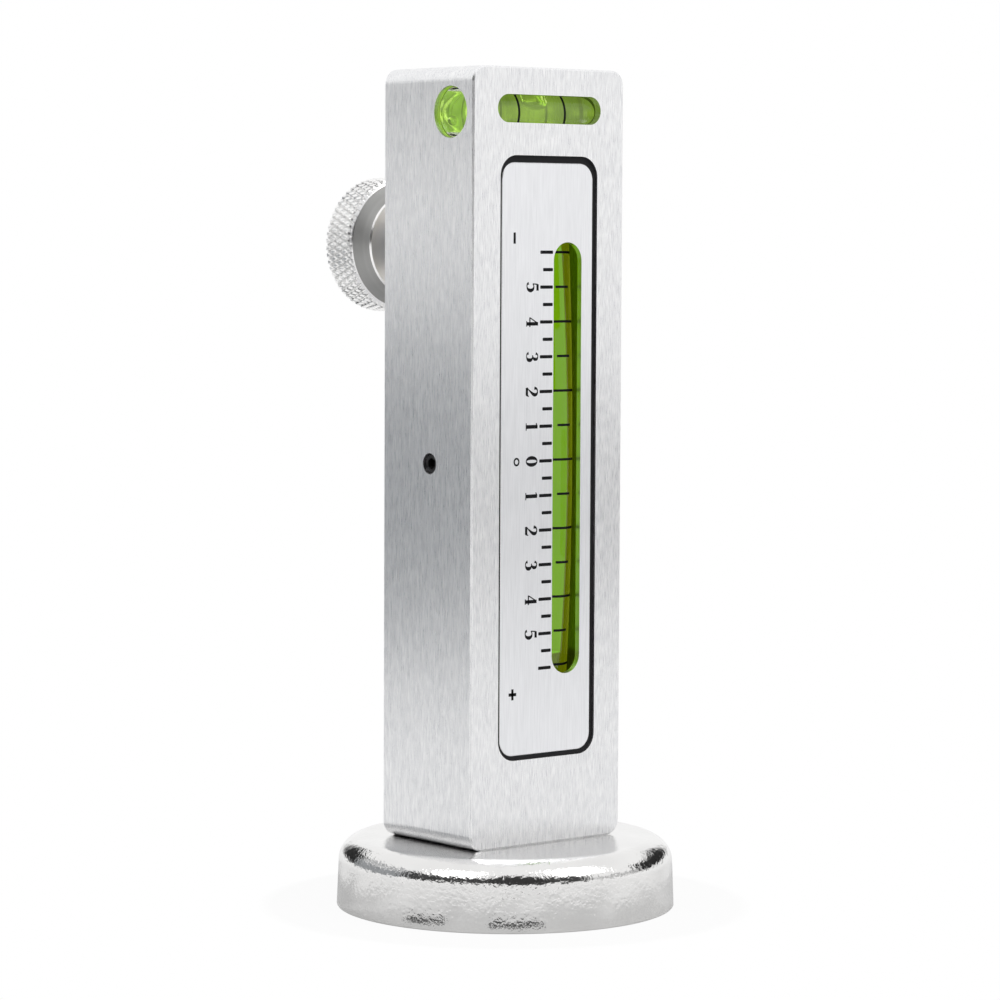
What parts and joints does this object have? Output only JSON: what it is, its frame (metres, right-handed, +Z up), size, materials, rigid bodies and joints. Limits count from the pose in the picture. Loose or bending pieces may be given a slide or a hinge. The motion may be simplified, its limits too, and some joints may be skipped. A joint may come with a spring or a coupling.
{
  "type": "camber caster gauge",
  "caption": "Aluminium bar on a round magnetic base, with a graduated spirit vial that a knurled knob at the back tilts, and a small cross vial at the top.",
  "frame": {"origin": "centre of the magnetic face, on the plane of the cup's rim", "axes": "+Z up the bar, -Y the way the scale faces, +X to the right of someone reading the scale"},
  "size_m": [0.0664, 0.0746, 0.1635],
  "materials": {
    "body": "brushed along the height",
    "scale_plate": "fine satin",
    "plate_gasket": "matte",
    "vial_carrier": "dark anodised",
    "camber_vial": "clear acrylic, polished",
    "camber_fluid": "clear fluid",
    "camber_vial_plugs": "clear acrylic, glued in",
    "vial_clips": "spring steel strip",
    "clip_screws": "zinc plated",
    "left_pivot_screw": "black oxide",
    "right_pivot_screw": "black oxide",
    "return_spring": "spring steel wire",
    "adjuster_bush": "turned",
    "adjuster_stem": "turned",
    "thrust_ball": "polished bearing steel",
    "adjuster_knob": "nickel plated, knurled rim",
    "knob_set_screw": "black oxide",
    "knob_spring": "spring steel wire",
    "spring_washer": "stamped",
    "level_vial": "clear acrylic, polished",
    "level_fluid": "clear fluid",
    "level_vial_plug": "clear acrylic, glued in",
    "base_cup": "bright nickel on pressed steel",
    "ring_magnet": "ground ferrite",
    "magnet_resin": "cast resin",
    "base_screw": "zinc plated",
    "base_lock_washer": "zinc plated"
  },
  "bodies": {
    "bar": {"body": "body", "scale_plate": "scale_plate", "plate_gasket": "plate_gasket", "left_pivot_screw": "left_pivot_screw", "right_pivot_screw": "right_pivot_screw", "return_spring": "return_spring", "adjuster_bush": "adjuster_bush", "knob_spring": "knob_spring", "level_vial": "level_vial", "level_fluid": "level_fluid", "level_vial_plug": "level_vial_plug", "base_cup": "base_cup", "ring_magnet": "ring_magnet", "magnet_resin": "magnet_resin", "base_screw": "base_screw", "base_lock_washer": "base_lock_washer"},
    "carrier": {"vial_carrier": "vial_carrier", "camber_vial": "camber_vial", "camber_fluid": "camber_fluid", "camber_vial_plugs": "camber_vial_plugs", "vial_clips": "vial_clips", "clip_screws": "clip_screws"},
    "thrust": {"thrust_ball": "thrust_ball", "spring_washer": "spring_washer"},
    "knob": {"adjuster_stem": "adjuster_stem", "adjuster_knob": "adjuster_knob", "knob_set_screw": "knob_set_screw"}
  },
  "joints": [
    {"name": "thrust_slide", "type": "slide", "parent": "bar", "child": "thrust", "axis": [0, -1, 0], "range_m": [-0.00112, 0.00112], "deforming": ["knob_spring"]},
    {"name": "knob_turn", "type": "hinge", "parent": "thrust", "child": "knob", "pos_m": [0, 0.0347, 0.1295], "axis": [0, -1, 0], "range_deg": [-541, 541]},
    {"name": "carrier_tilt", "type": "hinge", "parent": "bar", "child": "carrier", "pos_m": [0, 0.0006, 0.0875], "axis": [1, 0, 0], "range_deg": [-1.6, 1.6], "deforming": ["return_spring"]}
  ],
  "couplings": [
    {"joint": "knob_turn", "follows": "thrust_slide", "rad_per_m": 8377.6},
    {"joint": "carrier_tilt", "follows": "thrust_slide", "rad_per_m": 23.81}
  ]
}
